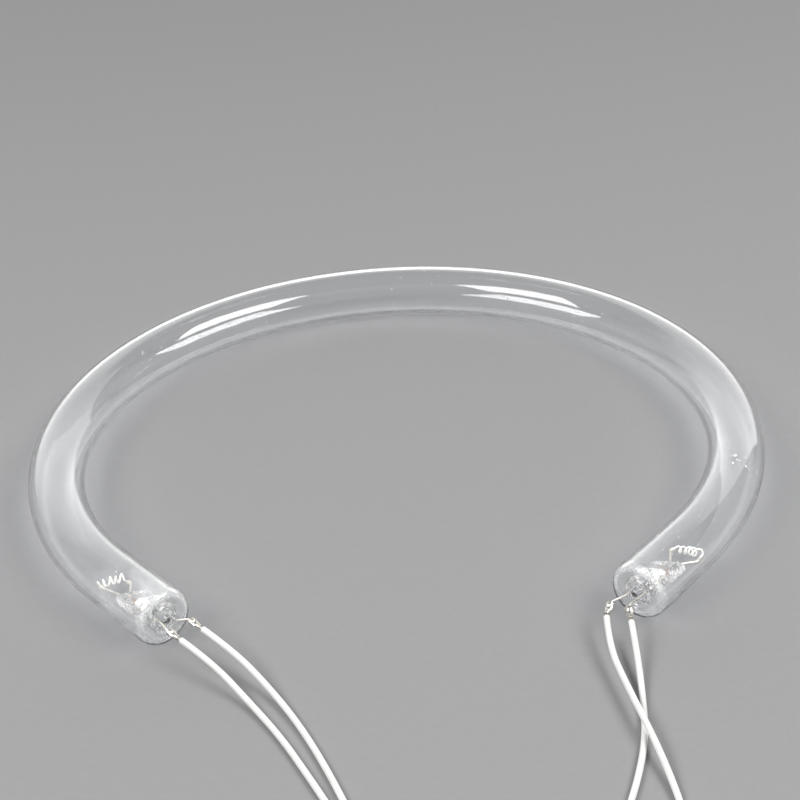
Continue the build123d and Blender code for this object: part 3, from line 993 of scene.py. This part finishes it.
class LAMP_OT_stage(bpy.types.Operator):
    """Set up the floor, the surroundings, the lamps and the camera"""

    bl_idname = "lamp.stage"
    bl_label = "Stage"

    def execute(self, context):
        scene = context.scene
        stage = scene.lamp_stage
        scene.view_settings.view_transform = "Standard"
        self.lay_floor(scene, stage)
        self.surround(scene, stage)
        self.softbox(scene, "softbox_left", -118.5, 1.00, stage.softbox_strength)
        self.softbox(scene, "softbox_right", 110.0, 1.10, stage.softbox_strength)

        camera = bpy.data.objects.new("camera", bpy.data.cameras.new("camera"))
        camera.data.sensor_width = 36.0
        camera.data.lens = 81.0
        camera.data.clip_start = 0.01
        camera.data.clip_end = 50.0
        right = (0.99833, -0.02091, -0.0538)
        up = (0.05708, 0.49556, 0.8667)
        back = (0.00854, -0.86832, 0.49593)
        camera.matrix_world = facing(right, up, back, (6.68 * MM, -461.85 * MM, 279.64 * MM))
        scene.collection.objects.link(camera)
        scene.camera = camera
        return {"FINISHED"}

    def lay_floor(self, scene, stage):
        """A pale floor just below the lamp, 12 m across."""
        reach, level = 6.0, -0.05 * MM
        corners = [(x * reach, y * reach, level) for x, y in ((-1, -1), (1, -1), (1, 1), (-1, 1))]
        mesh = bpy.data.meshes.new("floor")
        mesh.from_pydata(corners, [], [(0, 1, 2, 3)])
        floor = bpy.data.objects.new("floor", mesh)
        scene.collection.objects.link(floor)
        material, tree, shader = new_finish("pale_floor", Roughness=0.8, Specular_IOR_Level=0.15)
        shade = ramp(tree, grain(tree, 500.0, 5.0), 0.3, 0.7, 0.0, 1.0)
        base = np.array(stage.floor_colour)
        feed(tree, shader, Base_Color=mixed(tree, shade, base * 0.985, base * 1.015))
        self.fade_away(tree, shader)
        mesh.materials.append(material)

    def fade_away(self, tree, shader):
        """Let the camera see the floor fade into an even backdrop from 0.4 m to 2.5 m off the lamp."""
        away = node(tree, "ShaderNodeVectorMath", {0: object_place(tree)}, operation="LENGTH")
        far = ramp(tree, away.outputs["Value"], 0.4, 2.5, 0.0, 1.0)
        seen = node(tree, "ShaderNodeLightPath").outputs["Is Camera Ray"]
        share = maths(tree, "MULTIPLY", far, seen)
        even = node(tree, "ShaderNodeEmission", {"Color": colour((0.42, 0.42, 0.43))}).outputs[0]
        mix = node(tree, "ShaderNodeMixShader", {"Fac": share, 1: shader.outputs[0], 2: even})
        to_surface(tree, mix.outputs[0])

    def surround(self, scene, stage):
        """Dim surroundings with a pale wall behind the lamp, and pale all over where the camera sees them.

        The wall reaches 46 degrees up and is brightest low down. It ends sharply 45 degrees to the
        right of +Y, and fades out round 50 degrees to the left.
        """
        world = bpy.data.worlds.new("studio")
        scene.world = world
        world.use_nodes = True
        tree = world.node_tree
        tree.nodes.clear()
        way = node(tree, "ShaderNodeTexCoord").outputs["Generated"]
        x, y, z = node(tree, "ShaderNodeSeparateXYZ", {"Vector": way}).outputs
        low = ramp(tree, y, -0.85, -0.15, 0.60, 0.16)
        room = ramp(tree, z, 0.0, 0.55, low, stage.fill_strength)
        behind = maths(tree, "SUBTRACT", y, maths(tree, "ABSOLUTE", x))
        fade_out = ramp(tree, x, -0.01, 0.01, -0.50, 0.0)
        fade_in = ramp(tree, x, -0.01, 0.01, 0.35, 0.03)
        within = ramp(tree, behind, fade_out, fade_in, 0.0, 1.0)
        bright = ramp(tree, z, 0.05, 0.68, stage.wall_strength, stage.wall_strength * 0.6)
        under = ramp(tree, z, 0.66, 0.73, 1.0, 0.0)
        wall = maths(tree, "MULTIPLY", maths(tree, "MULTIPLY", within, under), bright)
        fill = maths(tree, "MAXIMUM", room, wall)
        seen = node(tree, "ShaderNodeLightPath").outputs["Is Camera Ray"]
        around = node(tree, "ShaderNodeBackground", {"Color": (1.0, 1.0, 1.0, 1.0), "Strength": fill})
        pale = node(tree, "ShaderNodeBackground", {"Color": colour((0.46, 0.46, 0.47)), "Strength": 1.0})
        mix = node(tree, "ShaderNodeMixShader", {"Fac": seen, 1: around.outputs[0], 2: pale.outputs[0]})
        node(tree, "ShaderNodeOutputWorld", {"Surface": mix.outputs[0]})

    def softbox(self, scene, name, azimuth, width, radiance):
        """A rectangular lamp that faces the middle of the ring from a compass angle, +Y being 0."""
        elevation, distance, height = 46.0, 1.6, 0.66
        turn, rise = np.radians(azimuth), np.radians(elevation)
        way = np.array([np.sin(turn) * np.cos(rise), np.cos(turn) * np.cos(rise), np.sin(rise)])
        side = np.array([np.cos(turn), -np.sin(turn), 0.0])
        lamp = bpy.data.lights.new(name, "AREA")
        lamp.shape = "RECTANGLE"
        lamp.size = width
        lamp.size_y = height
        lamp.energy = radiance * np.pi * width * height
        made = bpy.data.objects.new(name, lamp)
        made.matrix_world = facing(side, np.cross(way, side), way, np.array(RING_MIDDLE) + way * distance)
        made.visible_camera = False
        scene.collection.objects.link(made)


class LAMP_OT_insulated_wires(bpy.types.Operator):
    bl_idname = "lamp.insulated_wires"
    bl_label = "Insulated wires"

    def execute(self, context):
        wire = context.scene.lamp_wire
        material = insulation_finish(wire)
        for name, route in WIRE_ROUTES.items():
            points = np.column_stack([wire_route(name), np.ones(len(route))])
            curve = bpy.data.curves.new(f"white_wire_{name}", "CURVE")
            curve.dimensions = "3D"
            spline = curve.splines.new("NURBS")
            spline.points.add(len(points) - 1)
            spline.points.foreach_set("co", points.ravel())
            spline.order_u = 3
            spline.use_endpoint_u = True
            curve.resolution_u = 24
            curve.bevel_depth = wire.wire_diameter / 2
            curve.bevel_resolution = 8
            curve.use_fill_caps = True
            curve.materials.append(material)
            piece = bpy.data.objects.new(f"white_wire_{name}", curve)
            context.scene.collection.objects.link(piece)
            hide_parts(f"wire_{name}")
            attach(piece, "root")
        return {"FINISHED"}


class LAMP_OT_glass(bpy.types.Operator):
    """Blow the ring, its two stems and their exhaust tubes as one piece of glass"""

    bl_idname = "lamp.glass"
    bl_label = "Glass"

    def execute(self, context):
        glass = context.scene.lamp_glass
        outside, places_out, marks_out = glass_rings(air_side(glass), glass, 72, 3)
        inside, places_in, marks_in = glass_rings(vacuum_side(glass), glass, 72, 11)
        spaces = [inside]
        for end in ENDS:
            spaces.append(exhaust_bore(end, glass))
            for centre, size in seed_bubbles(end, glass):
                spaces.append(ball_rings(centre, size, 9, 10, pole=86.0))
        skins = [closed_skin(outside)] + [hollow(closed_skin(rings)) for rings in spaces]

        maps = [places_out, places_in]
        marks = {mark: [marks_out[mark], marks_in[mark]] for mark in marks_out}
        for points, _, _ in skins[2:]:
            maps.append(np.full((len(points), 2), 2.0))
            marks["painted_glints"].append(np.zeros(len(points)))
            marks["worked"].append(np.ones(len(points)))
        stands_for = ["glass_tube"] + [f"{part}_{end}" for part in ("stem", "exhaust_tube") for end in ENDS]
        material = quartz_finish(glass)
        make_piece("clear_glass_envelope", skins, material, stands_for, maps, marks)
        return {"FINISHED"}


def exhaust_bore(end, glass):
    """Rings of the exhaust tube's bore, from its sealed tip into the stem."""
    sealed = EXHAUST_SEAL - glass.exhaust_proud
    reached = stem_depths(glass)[1] + EXHAUST_REACH
    first, last = in_lamp(end, [(0, 0, sealed), (0, 0, reached)], glass)
    return bore_rings(first, last, EXHAUST_BORE)


def seed_bubbles(end, glass):
    """Centres and diameters of the seed bubbles that the hot glass has caught round the press.

    Most lie in three rows along the press, off its two edges and off its inner edge, and the rest
    are strewn through it. All keep clear of its surface and of the wires in its middle plane.
    """
    rng = np.random.default_rng(41 if end == "left" else 57)
    count = 46
    half = glass.press_width / 2
    press, top = stem_depths(glass)[2:]
    row = rng.integers(0, 4, count)
    edges = [0.8 * MM - half, half - 0.8 * MM]
    strewn = [rng.uniform(-0.8, 0.8, count) * half for _ in range(2)]
    width = np.choose(row, edges + strewn)
    within = press + rng.uniform(0.7, 3.7, count) * MM
    depth = np.where(row == 2, top - 0.9 * MM, within)
    width = glass.press_offset + width + rng.normal(0, 0.12, count) * MM
    height = rng.choice([-1.0, 1.0], count) * rng.uniform(0.45, 0.75, count) * MM
    places = in_lamp(end, np.stack([width, height, depth], axis=1), glass)
    return zip(places, rng.uniform(0.10, 0.30, count) * MM)


class LAMP_OT_filaments(bpy.types.Operator):
    """Wind the two coated filaments"""

    bl_idname = "lamp.filaments"
    bl_label = "Filaments"

    def execute(self, context):
        glass, metal = context.scene.lamp_glass, context.scene.lamp_metal
        material = coating_finish(metal)
        for end in ENDS:
            skin = closed_skin(coil_rings(end, glass, metal))
            make_piece(f"coated_coil_{end}", [skin], material, [f"filament_{end}"])
        return {"FINISHED"}


def coil_rings(end, glass, metal):
    """Rings of a coated filament: a round rod with the ridge of its winding, and a lumpy coating.

    The ridge is 0.07 cos(2 pi x / 0.3 mm - q) of the radius, and waves of x and q add 0.08 of it.
    """
    path = in_lamp(end, coil_path(end, glass, metal), glass)
    x = np.linspace(0, path_length(path), len(path))[:, None]
    q = angles_round(18)
    ridge = 0.07 * np.cos(2 * np.pi * x / (0.3 * MM) - q)
    lumps = 0.08 * waves(x / (0.5 * MM), q, COILS[end]["seed"])
    return round_rod(path, metal.coil_wire, way_in_lamp(end, (1, 0, 0), glass), 18, ridge + lumps)


def coil_path(end, glass, metal):
    """(width, height, depth) rows of a filament: a leg, a coil and a leg.

    In its own frame, with t from 0 to 2 pi times the turns, the coil is x = pitch t / 2 pi - half
    its length, y = r cos t, z = r sin t. Its turns are uneven, as hand-set ones are: r, the pitch
    and the middle vary by tenths of a millimetre, and the turns lean by r times a slope times
    sin t along x. The legs leave along its end tangents. It is then turned by the difference
    between its roll and the press's, and moved to its place.
    """
    set_so = COILS[end]
    seed = set_so["seed"]
    radius = metal.coil_diameter / 2
    total = 2 * np.pi * metal.coil_turns
    t = np.linspace(0, total, int(95 * metal.coil_turns))
    settled = np.sin(np.pi * t / total)
    r = radius * (1 + 0.13 * settled * np.sin(0.61 * t + seed)) * (1 + set_so["widen"] * (t / total - 0.5))
    rise = metal.coil_pitch * set_so["stretch"] / (2 * np.pi)
    slope = np.interp(t / total, (0, 1), set_so["lean"])
    x = rise * (t - total / 2) + 0.25 * MM * settled * np.sin(0.45 * t + seed) + r * slope * np.sin(t)
    bowed = 0.25 * MM * settled * np.sin(0.21 * t + 0.7 * seed)
    coil = np.stack([x, set_so["starts"] * r * np.cos(t), bowed + r * np.sin(t)], axis=1)
    leg = unit(np.array([rise, radius])) * metal.coil_leg
    out = np.linspace(1, 0, LEG_POINTS)[:-1, None]
    first = coil[0] + out * np.array([-leg[0], 0, -leg[1]])
    last = coil[-1] + out[::-1] * np.array([leg[0], 0, -leg[1]])
    x, y, z = np.vstack([first, coil, last]).T
    lean = glass.stem_roll - metal.coil_roll - np.radians(set_so["tilt"])
    width = metal.coil_offset + x * np.cos(lean) - y * np.sin(lean)
    height = metal.coil_drop - set_so["rise"] * MM + x * np.sin(lean) + y * np.cos(lean)
    return np.stack([width, height, metal.coil_depth + z], axis=1)


class LAMP_OT_inner_leads(bpy.types.Operator):
    """Bend the inner leads from the press to the filament, with a tab folded over its leg"""

    bl_idname = "lamp.inner_leads"
    bl_label = "Inner leads"

    def execute(self, context):
        glass, metal = context.scene.lamp_glass, context.scene.lamp_metal
        material = lead_finish(metal)
        for end in ENDS:
            for side_name, side in SIDES.items():
                name = f"{end}_{side_name}"
                path = inner_lead_path(end, side, glass, metal)
                skin = closed_skin(tabbed_rings(path, end, glass, metal))
                make_piece(f"tabbed_lead_{name}", [skin], material, [f"inner_lead_{name}"])
        return {"FINISHED"}


def inner_lead_path(end, side, glass, metal):
    """Points of an inner lead: straight out of the press, across to the leg's tip and along the leg."""
    press, top = stem_depths(glass)[2:]
    filament = coil_path(end, glass, metal)
    if side < 0:
        tip, coil_end = filament[0], filament[LEG_POINTS - 1]
    else:
        tip, coil_end = filament[-1], filament[-LEG_POINTS]
    clamp = tip + (coil_end - tip) * (1.2 * MM / metal.coil_leg)
    offset = metal.inner_offset + side * metal.inner_spacing / 2
    root = (offset, metal.inner_drop, press + INNER_LEAD_ROOT)
    bend = (offset, metal.inner_drop, top + INNER_LEAD_BEND)
    return rounded_path(in_lamp(end, [root, bend, tip, clamp], glass), 1.2 * MM, FINE_STEP)


def tabbed_rings(path, end, glass, metal):
    """Rings of an inner lead whose last 1.45 mm is a tab folded over the filament's leg.

    The tab is a blunt section 1 mm wide and 0.95 mm high. Its seam is a groove,
    -0.22 e^(-((q - pi) / 0.18)^2) of the section, and waves dent it by 0.03.
    """
    length = path_length(path)
    x = np.linspace(0, length, len(path))
    folded = smooth_step((x - (length - 1.45 * MM)) / (0.3 * MM))
    closing = rounded_ends(len(path), length, 0.2 * MM, 0.01)
    wire = metal.inner_lead / 2
    wide = (wire + folded * (0.5 * MM - wire)) * closing
    high = (wire + folded * (0.475 * MM - wire)) * closing
    square = ROUND + (PRESS_SQUARENESS - ROUND) * folded
    q = angles_round(28)
    seam = -0.22 * np.exp(-(((q - np.pi) / 0.18) ** 2))
    dents = 0.03 * waves(x[:, None] / (0.3 * MM), 2 * q, COILS[end]["seed"])
    reference = way_in_lamp(end, (0, 1, 0), glass)
    return swept_rings(path, wide, high, reference, 28, square, folded[:, None] * (seam + dents))


class LAMP_OT_press_wires(bpy.types.Operator):
    """Set the copper-clad wires in the presses"""

    bl_idname = "lamp.press_wires"
    bl_label = "Press wires"

    def execute(self, context):
        glass, metal = context.scene.lamp_glass, context.scene.lamp_metal
        material = press_wire_finish()
        press = stem_depths(glass)[2]
        first_bend, second_bend = SEAL_WIRE_BENDS
        for end in ENDS:
            for side_name, side in SIDES.items():
                outer = side * metal.lead_spacing / 2
                inner = metal.inner_offset + side * metal.inner_spacing / 2
                places = [
                    (outer, 0, press + OUTER_LEAD_ROOT),
                    (outer, 0, press + first_bend),
                    (inner, metal.inner_drop, press + second_bend),
                    (inner, metal.inner_drop, press + INNER_LEAD_ROOT),
                ]
                path = rounded_path(in_lamp(end, places, glass), 0.6 * MM, WIRE_STEP)
                skin = closed_skin(round_rod(path, SEAL_WIRE))
                name = f"{end}_{side_name}"
                make_piece(f"press_wire_{name}", [skin], material, [f"seal_wire_{name}"])
        return {"FINISHED"}


class LAMP_OT_outer_leads(bpy.types.Operator):
    """Bend the outer leads from the press through the stem's mouth to the splices"""

    bl_idname = "lamp.outer_leads"
    bl_label = "Outer leads"

    def execute(self, context):
        glass, metal = context.scene.lamp_glass, context.scene.lamp_metal
        material = lead_finish(metal)
        press = stem_depths(glass)[2]
        for end in ENDS:
            for side_name, side in SIDES.items():
                name = f"{end}_{side_name}"
                start, middle, _, way = splice_places(name, metal)
                offset = side * metal.lead_spacing / 2
                places = [(offset, 0, press + OUTER_LEAD_ROOT), (offset, 0, OUTER_LEAD_BEND)]
                root, mouth = in_lamp(end, places, glass)
                places = [root, mouth, start - way * 0.9 * MM, middle - way * 0.15 * MM]
                path = rounded_path(places, 1.6 * MM, WIRE_STEP)
                skin = closed_skin(round_rod(path, metal.outer_lead))
                make_piece(f"spliced_lead_{name}", [skin], material, [f"outer_lead_{name}"])
        return {"FINISHED"}


class LAMP_OT_splices(bpy.types.Operator):
    """Crimp the splice sleeves, and twist the bare strands and the tinned tips"""

    bl_idname = "lamp.splices"
    bl_label = "Splices"

    def execute(self, context):
        metal, wire = context.scene.lamp_metal, context.scene.lamp_wire
        brass, tinned = sleeve_finish(metal), strand_finish()
        for seed, name in enumerate(WIRE_ROUTES):
            start, middle, end, way = splice_places(name, metal)
            skin = closed_skin(sleeve_rings(start, way, metal, seed))
            make_piece(f"crimped_sleeve_{name}", [skin], brass, [f"splice_sleeve_{name}"])

            route = wire_route(name)
            inside = route[0] + (route[1] - route[0]) * 0.01
            path = rounded_path([middle + way * 0.15 * MM, end, inside], 1.0 * MM, FINE_STEP)
            skin = closed_skin(strand_rings(path, wire, 0.0))
            make_piece(f"bared_strands_{name}", [skin], tinned, [f"wire_strands_{name}"])

            away = unit(route[-1] - route[-2])
            ends = [route[-1] - away * 0.1 * MM, route[-1] + away * wire.tip_length]
            skin = closed_skin(strand_rings(rounded_path(ends, 1.0 * MM, FINE_STEP), wire, 0.25))
            make_piece(f"tinned_end_{name}", [skin], tinned, [f"wire_tip_{name}"])
        return {"FINISHED"}


def sleeve_rings(start, way, metal, seed):
    """Rings of a crimped sleeve.

    The profile runs from a disc inside one mouth over the rounded lip and the outside to the disc
    inside the other. The crimp squeezes the height by 1 - 0.3 e^(-(x / 0.6 mm)^4) about the middle
    and spreads the width by 1 + 0.12 of the same bell. From the lead to the wire the width goes
    from 1.30 to 0.78 of the diameter and the height from 1.14 to 0.84, and waves dent it by 0.04.
    """
    radius, length = metal.sleeve_diameter / 2, metal.sleeve_length
    lip = 0.13 * MM
    inner = radius - 2 * lip
    quarter = np.radians(np.linspace(0, 90, 5))
    c, s = np.cos(quarter), np.sin(quarter)
    disc = [
        (0.45 * MM, inner * 0.1),
        (0.45 * MM, inner * 0.7),
        (0.42 * MM, inner * 0.97),
        (0.3 * MM, inner),
    ]
    end = np.vstack(
        [
            disc,
            np.stack([lip * (1 - s), inner + lip * (1 - c)], axis=1),
            np.stack([lip * (1 - c), inner + lip * (1 + s)], axis=1),
        ]
    )
    body = straight_run(2 * lip, length - 2 * lip, 40, radius)
    x, r = np.vstack([end, body, mirrored(end, length)]).T[..., None]

    q = angles_round(36)
    r = r * (1 + 0.04 * waves(x / (0.45 * MM), 2 * q, seed + 20))
    bell = np.exp(-(((x - length / 2) / (0.6 * MM)) ** 4))
    towards_wire = smooth_step(x / length)
    wide = r * np.cos(q) * (1 + 0.12 * bell) * (1.30 - 0.52 * towards_wire)
    high = r * np.sin(q) * (1 - 0.30 * bell) * (1.14 - 0.30 * towards_wire)
    side = unit(np.cross(way, UP))
    top = np.cross(side, way)
    return (start + x * way)[:, None] + wide[..., None] * side + high[..., None] * top


def strand_rings(path, wire, solder):
    """Rings of seven strands twisted together, less hollow between them where they are soldered.

    r = R (1 + 0.18 (1 - solder) (|cos(3 (q - 2 pi x / 9 mm))| - 1)).
    """
    x = np.linspace(0, path_length(path), len(path))[:, None]
    q = angles_round(36)
    hollows = 0.18 * (1 - solder) * (np.abs(np.cos(3 * (q - 2 * np.pi * x / (9 * MM)))) - 1)
    return round_rod(path, wire.strand_diameter, (0.1, 0.2, 1.0), 36, hollows)


class LAMP_OT_mercury(bpy.types.Operator):
    """Drop the mercury beads in the bottom of the tube"""

    bl_idname = "lamp.mercury"
    bl_label = "Mercury"

    def execute(self, context):
        glass = context.scene.lamp_glass
        angle = np.radians(MERCURY_BEADS[:, 0])
        offset, diameter = MERCURY_BEADS[:, 1:].T * MM
        reach = glass.ring_radius + offset
        spots = np.stack([reach * np.cos(angle), reach * np.sin(angle)], axis=1) + RING_MIDDLE[:2]
        centres = [resting_place(*spot, size, glass) for spot, size in zip(spots, diameter)]
        beads = list(zip(centres, diameter))
        rng = np.random.default_rng(12)
        for centre, size in zip(np.repeat(centres[:4], 3, axis=0), rng.uniform(0.28, 0.48, 12) * MM):
            turn, away = rng.uniform(0, 2 * np.pi), rng.uniform(0.9, 1.7) * MM
            x, y = centre[0] + away * np.cos(turn), centre[1] + away * np.sin(turn)
            beads.append((resting_place(x, y, size, glass), size))
        skins = [
            closed_skin(ball_rings(centre, size, 20, 28, flatness=(0.90, 0.95))) for centre, size in beads
        ]
        make_piece("mercury_droplets", skins, mercury_finish(), ["mercury_beads"])
        return {"FINISHED"}


def resting_place(x, y, diameter, glass):
    """Centre of a bead that rests 0.04 mm off the bottom of the tube's bore."""
    across = np.hypot(x - RING_MIDDLE[0], y - RING_MIDDLE[1]) - glass.ring_radius
    seat = glass.tube_diameter / 2 - glass.tube_wall - diameter / 2 - 0.04 * MM
    return np.array([x, y, RING_MIDDLE[2] - np.sqrt(seat**2 - across**2)])


class LAMP_PT_sidebar(bpy.types.Panel):
    """Lists the lamp's pieces and their settings"""

    bl_idname = "LAMP_PT_sidebar"
    bl_label = "Circular lamp"
    bl_space_type = "VIEW_3D"
    bl_region_type = "UI"
    bl_category = "Lamp"

    def draw(self, context):
        for name in SETTINGS:
            group = getattr(context.scene, name)
            box = self.layout.box()
            for prop in group.bl_rna.properties:
                if prop.identifier not in ("name", "rna_type"):
                    box.prop(group, prop.identifier)
        for operator in OPERATORS:
            self.layout.operator(operator.bl_idname)


SETTINGS = {
    "lamp_glass": LampGlassSettings,
    "lamp_metal": LampMetalSettings,
    "lamp_wire": LampWireSettings,
    "lamp_stage": LampStageSettings,
}
OPERATORS = (
    LAMP_OT_stage,
    LAMP_OT_splices,
    LAMP_OT_insulated_wires,
    LAMP_OT_glass,
    LAMP_OT_filaments,
    LAMP_OT_inner_leads,
    LAMP_OT_press_wires,
    LAMP_OT_outer_leads,
    LAMP_OT_mercury,
)


def register():
    for group in SETTINGS.values():
        bpy.utils.register_class(group)
    for name, group in SETTINGS.items():
        setattr(bpy.types.Scene, name, PointerProperty(type=group))
    for item in (*OPERATORS, LAMP_PT_sidebar):
        bpy.utils.register_class(item)


def unregister():
    for item in (LAMP_PT_sidebar, *reversed(OPERATORS)):
        bpy.utils.unregister_class(item)
    for name in SETTINGS:
        delattr(bpy.types.Scene, name)
    for group in reversed(list(SETTINGS.values())):
        bpy.utils.unregister_class(group)


def main():
    """Register the add-on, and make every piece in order."""
    register()
    bpy.ops.lamp.stage()
    bpy.ops.lamp.splices()
    bpy.ops.lamp.insulated_wires()
    bpy.ops.lamp.glass()
    bpy.ops.lamp.filaments()
    bpy.ops.lamp.inner_leads()
    bpy.ops.lamp.press_wires()
    bpy.ops.lamp.outer_leads()
    bpy.ops.lamp.mercury()


if __name__ == "__main__":
    main()
